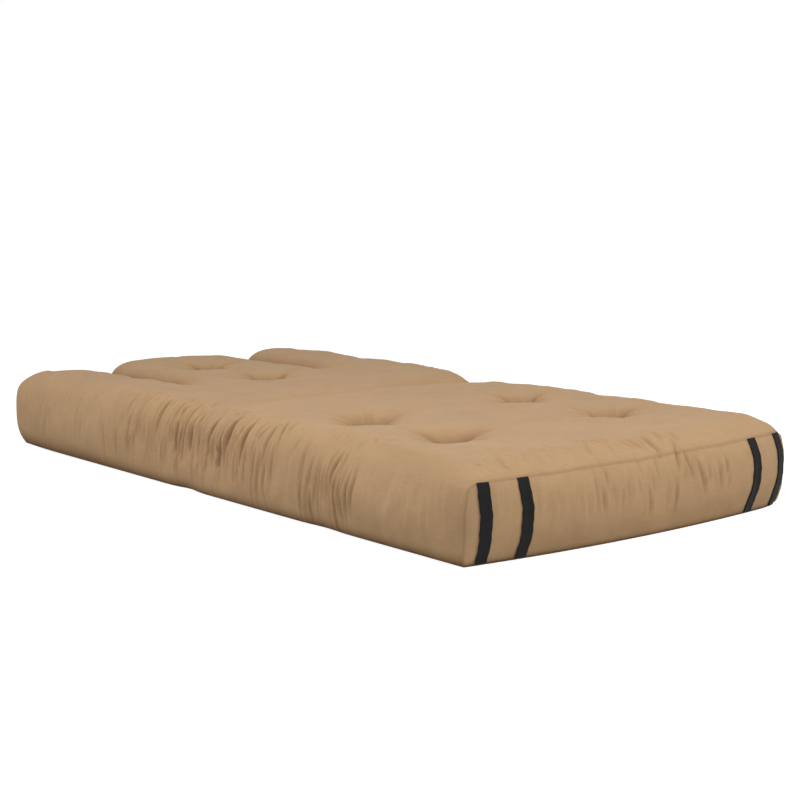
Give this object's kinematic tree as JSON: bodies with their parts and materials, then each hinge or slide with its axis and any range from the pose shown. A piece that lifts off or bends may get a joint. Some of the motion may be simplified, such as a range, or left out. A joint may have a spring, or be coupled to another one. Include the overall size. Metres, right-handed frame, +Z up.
{
  "type": "futon mattress",
  "caption": "Tufted cotton futon mattress that folds in half, with slotted flaps at one end and webbing straps down the other.",
  "frame": {"origin": "on the floor, under the middle of the mattress's overall box", "axes": "+X along the length towards the strap end, +Y across the width, +Z up"},
  "size_m": [2.0754, 0.914, 0.2],
  "materials": {
    "casing_cloth": "matt woven cotton twill, light brown",
    "webbing": "black ribbed webbing",
    "cotton_felt": "unbleached needled cotton felt",
    "foam": "open-cell cushion foam",
    "twine": "waxed tufting twine"
  },
  "bodies": {
    "seat": {"seat_top_panel": "casing_cloth", "seat_upper_felt": "cotton_felt", "seat_foam_core": "foam", "seat_lower_felt": "cotton_felt", "seat_bottom_panel": "casing_cloth", "seat_left_wall": "casing_cloth", "seat_right_wall": "casing_cloth", "tuft_twine_seat_left": "twine", "tuft_twine_seat_right": "twine"},
    "front": {"front_top_panel": "casing_cloth", "front_upper_felt": "cotton_felt", "front_foam_core": "foam", "front_lower_felt": "cotton_felt", "front_bottom_panel": "casing_cloth", "front_left_wall": "casing_cloth", "front_right_wall": "casing_cloth", "strap_end_wall": "casing_cloth", "strap_left_outer": "webbing", "strap_left_inner": "webbing", "strap_right_outer": "webbing", "strap_right_inner": "webbing", "tuft_twine_front_left": "twine", "tuft_twine_front_right": "twine"},
    "back": {"back_top_panel": "casing_cloth", "back_upper_felt": "cotton_felt", "back_foam_core": "foam", "back_lower_felt": "cotton_felt", "back_bottom_panel": "casing_cloth", "back_left_wall": "casing_cloth", "back_right_wall": "casing_cloth", "tuft_twine_back": "twine"},
    "left_flap": {"left_flap_top_panel": "casing_cloth", "left_flap_upper_felt": "cotton_felt", "left_flap_foam_core": "foam", "left_flap_lower_felt": "cotton_felt", "left_flap_bottom_panel": "casing_cloth", "left_flap_wall": "casing_cloth"},
    "middle_flap": {"middle_flap_top_panel": "casing_cloth", "middle_flap_upper_felt": "cotton_felt", "middle_flap_foam_core": "foam", "middle_flap_lower_felt": "cotton_felt", "middle_flap_bottom_panel": "casing_cloth", "middle_flap_wall": "casing_cloth", "tuft_twine_middle_flap": "twine"},
    "right_flap": {"right_flap_top_panel": "casing_cloth", "right_flap_upper_felt": "cotton_felt", "right_flap_foam_core": "foam", "right_flap_lower_felt": "cotton_felt", "right_flap_bottom_panel": "casing_cloth", "right_flap_wall": "casing_cloth"}
  },
  "joints": [
    {"name": "mid_fold", "type": "hinge", "parent": "seat", "child": "back", "pos_m": [-0.025, 0, 0.202], "axis": [0, 1, 0], "range_deg": [0, 178]},
    {"name": "front_fold", "type": "hinge", "parent": "seat", "child": "front", "pos_m": [0.5, 0, 0.202], "axis": [0, 1, 0], "range_deg": [-178, 0]},
    {"name": "left_flap_fold", "type": "hinge", "parent": "back", "child": "left_flap", "pos_m": [-0.44, -0.332, 0.202], "axis": [0, -1, 0], "range_deg": [-135, 0]},
    {"name": "middle_flap_fold", "type": "hinge", "parent": "back", "child": "middle_flap", "pos_m": [-0.44, 0, 0.202], "axis": [0, -1, 0], "range_deg": [-135, 0]},
    {"name": "right_flap_fold", "type": "hinge", "parent": "back", "child": "right_flap", "pos_m": [-0.44, 0.332, 0.202], "axis": [0, -1, 0], "range_deg": [-135, 0]}
  ]
}
